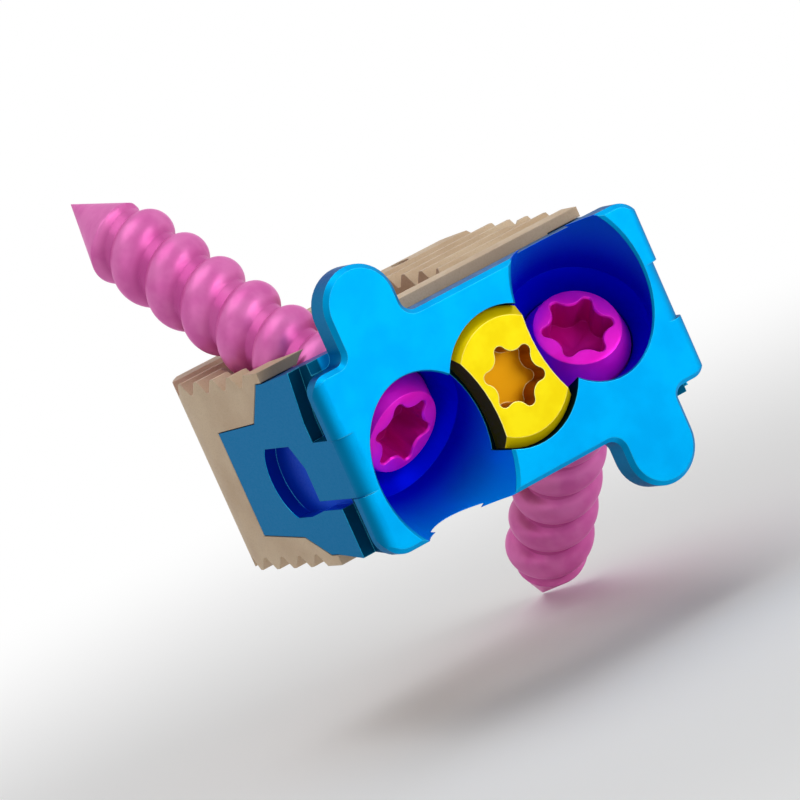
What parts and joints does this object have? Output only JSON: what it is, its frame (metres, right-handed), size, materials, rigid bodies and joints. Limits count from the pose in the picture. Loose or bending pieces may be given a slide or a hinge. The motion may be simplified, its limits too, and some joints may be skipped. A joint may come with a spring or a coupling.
{
  "type": "spinal interbody cage",
  "caption": "Stand-alone cervical interbody cage: toothed plastic spacer, lobed metal front plate, slanted bone screws and a quarter-turn locking cam between them.",
  "frame": {"origin": "on the locking cam's axis, in the plane of the fixation plate's front face", "axes": "+X to the viewer's right when the plate is looked at, +Y from the plate into the disc space, +Z towards the head; the cam turns about Y"},
  "size_m": [0.0156, 0.0174, 0.0232],
  "materials": {
    "plate_metal": "blue anodised titanium, satin",
    "spacer_plastic": "machined natural PEEK, tan, matt",
    "cam_metal": "yellow anodised titanium, satin",
    "ring_metal": "plain machined titanium",
    "screw_metal": "magenta anodised titanium, satin",
    "pin_metal": "plain machined titanium",
    "marker_metal": "plain drawn tantalum wire"
  },
  "bodies": {
    "cage": {"fixation_plate": "plate_metal", "interbody_spacer": "spacer_plastic", "joining_pin_left": "pin_metal", "joining_pin_right": "pin_metal", "marker_pin_left": "marker_metal", "marker_pin_right": "marker_metal"},
    "cam": {"locking_cam": "cam_metal", "cam_retaining_ring": "ring_metal"},
    "upper_screw": {"bone_screw_upper": "screw_metal"},
    "lower_screw": {"bone_screw_lower": "screw_metal"}
  },
  "joints": [
    {"name": "cam_turn", "type": "hinge", "parent": "cage", "child": "cam", "pos_m": [0, 0, 0], "axis": [0, 1, 0], "range_deg": [0, 90]},
    {"name": "upper_screw_turn", "type": "hinge", "parent": "cage", "child": "upper_screw", "pos_m": [-0.0043, 0.00185, -0.00021], "axis": [-0.0924, 0.7921, 0.6034], "continuous": true},
    {"name": "lower_screw_turn", "type": "hinge", "parent": "cage", "child": "lower_screw", "pos_m": [0.0043, 0.00185, 0.00021], "axis": [0.0924, 0.7921, -0.6034], "continuous": true}
  ]
}
